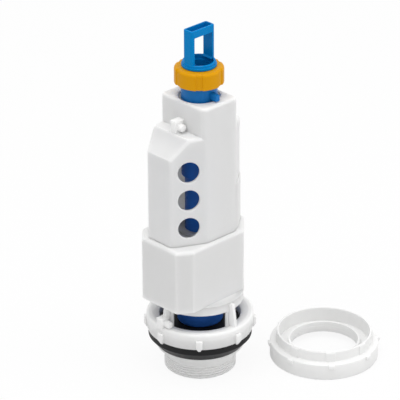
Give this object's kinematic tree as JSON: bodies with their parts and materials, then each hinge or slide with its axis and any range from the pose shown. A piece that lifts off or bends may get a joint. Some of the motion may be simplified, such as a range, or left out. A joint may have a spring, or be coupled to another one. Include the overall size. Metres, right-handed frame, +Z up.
{
  "type": "toilet flush valve",
  "caption": "Cistern flush valve: lifting overflow tube with seal in a caged outlet base, float and chamber housings, pull loop on a clamp nut, and a loose ring nut for the threaded tail.",
  "frame": {"origin": "on the tube's axis at the lower end of the outlet tail", "axes": "+Z up along the overflow tube; -Y towards the front bulge; +X towards the side that the pegs and the lug point to"},
  "size_m": [0.1557, 0.1781, 0.303],
  "materials": {
    "white_plastic": "moulded, satin white",
    "blue_plastic": "moulded, bright blue",
    "dark_blue_plastic": "moulded, deep blue",
    "amber_plastic": "moulded, amber yellow",
    "black_rubber": "soft black rubber"
  },
  "bodies": {
    "valve_body": {"valve_base": "white_plastic", "base_gasket": "black_rubber", "gasket_washer": "white_plastic", "lower_housing": "white_plastic", "upper_housing": "white_plastic", "rear_cover": "white_plastic", "tube_guide": "white_plastic"},
    "lift_tube": {"overflow_tube": "dark_blue_plastic", "neck_sleeve": "blue_plastic", "sleeve_o_ring": "black_rubber", "collet_ring": "white_plastic", "seal_holder": "dark_blue_plastic", "main_seal": "black_rubber", "seal_retainer": "white_plastic", "air_float": "white_plastic", "float_clip": "dark_blue_plastic"},
    "clamp_nut": {"collet_nut": "amber_plastic"},
    "handle": {"pull_handle": "blue_plastic", "stem_o_ring": "black_rubber"},
    "ring_nut": {"lock_nut": "white_plastic"}
  },
  "joints": [
    {"name": "tube_lift", "type": "slide", "parent": "valve_body", "child": "lift_tube", "axis": [0, 0, 1], "range_m": [0, 0.018]},
    {"name": "nut_turn", "type": "hinge", "parent": "lift_tube", "child": "clamp_nut", "pos_m": [0, 0, 0.264], "axis": [0, 0, 1], "range_deg": [0, 90]},
    {"name": "handle_height", "type": "slide", "parent": "lift_tube", "child": "handle", "axis": [0, 0, 1], "range_m": [0, 0.02]},
    {"name": "ring_nut_lift", "type": "slide", "parent": "valve_body", "child": "ring_nut", "axis": [0, 0, 1], "range_m": [0, 0.05]}
  ]
}
